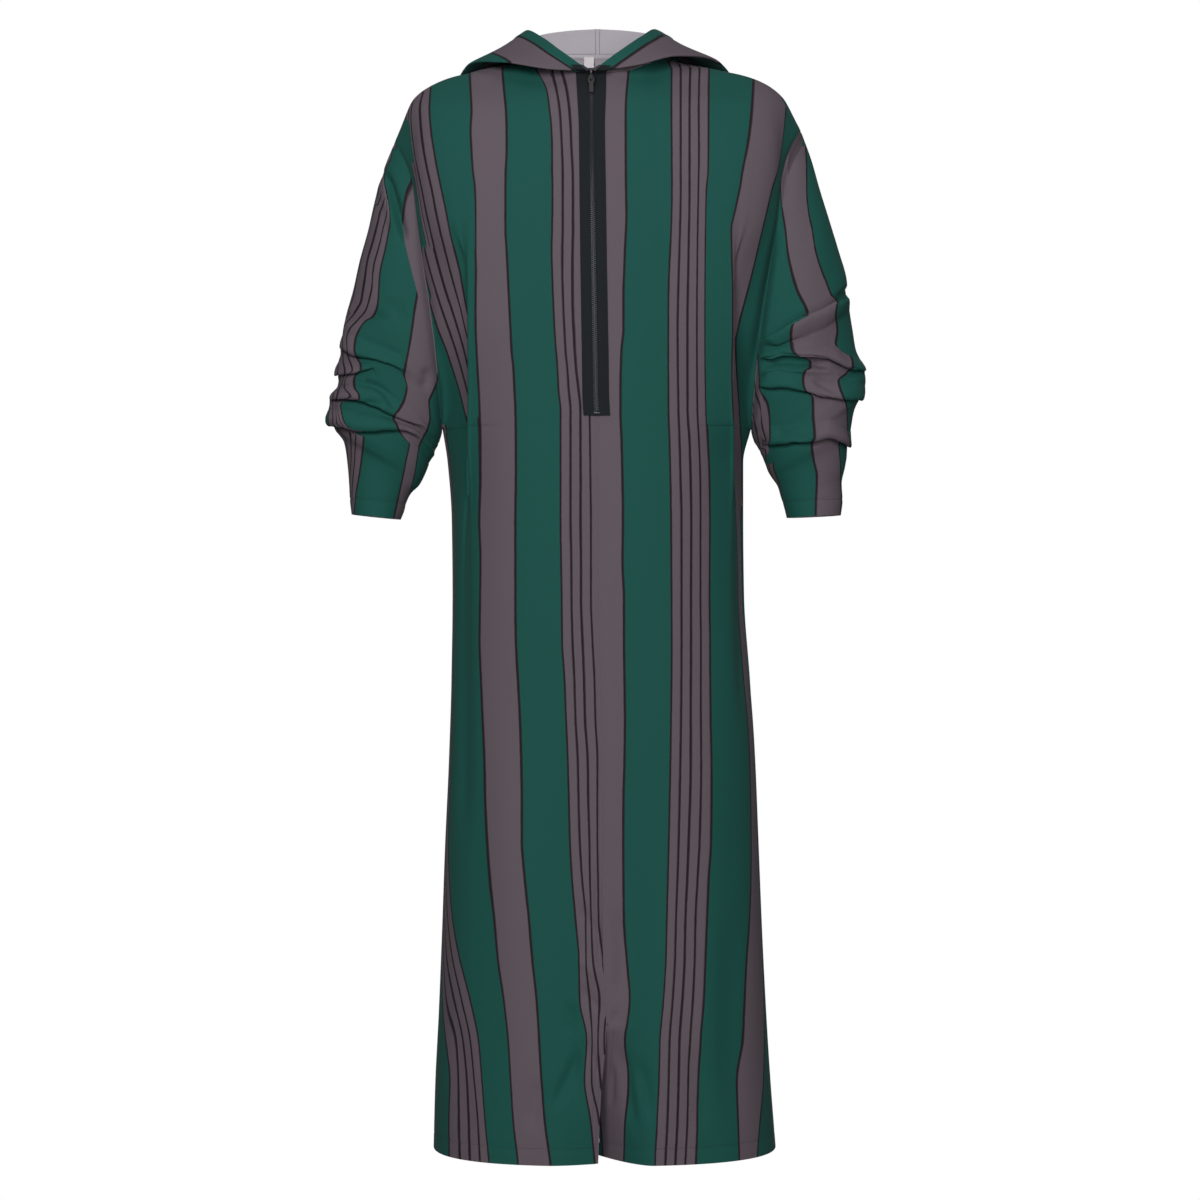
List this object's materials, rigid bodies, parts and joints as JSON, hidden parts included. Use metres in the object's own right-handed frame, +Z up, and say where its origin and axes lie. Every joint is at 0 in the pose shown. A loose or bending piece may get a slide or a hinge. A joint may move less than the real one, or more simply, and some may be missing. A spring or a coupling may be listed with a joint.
{
  "type": "hooded striped kaftan, worn shape with no wearer",
  "caption": "Ankle-length hooded kaftan with long gathered-up sleeves and a half zip, held hollow in its worn shape.",
  "frame": {"origin": "on the wearer's shoulders at the neck, in the middle of the garment from side to side and front to back", "axes": "+Z up, front of the garment towards -Y, wearer's left towards +X"},
  "size_m": [0.654, 0.3197, 1.3421],
  "materials": {
    "striped_cloth": "smooth matt twill, green and mauve stripes with dark edges",
    "zip_tape": "woven matt tape",
    "zip_chain": "satin moulded teeth",
    "zip_metal": "satin black enamel",
    "label": "plain woven satin, blank"
  },
  "bodies": {
    "garment": {"front_right": "striped_cloth", "front_left": "striped_cloth", "back": "striped_cloth", "sleeve_right": "striped_cloth", "sleeve_left": "striped_cloth", "hood_right": "striped_cloth", "hood_left": "striped_cloth", "zip_tape_right": "zip_tape", "zip_tape_left": "zip_tape", "zip_chain": "zip_chain", "zip_slider": "zip_metal", "neck_label": "label"},
    "pull": {"zip_pull": "zip_metal"}
  },
  "joints": [
    {"name": "pull_flip", "type": "hinge", "parent": "garment", "child": "pull", "pos_m": [-0.00745, -0.07148, -0.03109], "axis": [-0.9999, -0.0066, -0.0136], "range_deg": [0, 120]}
  ]
}
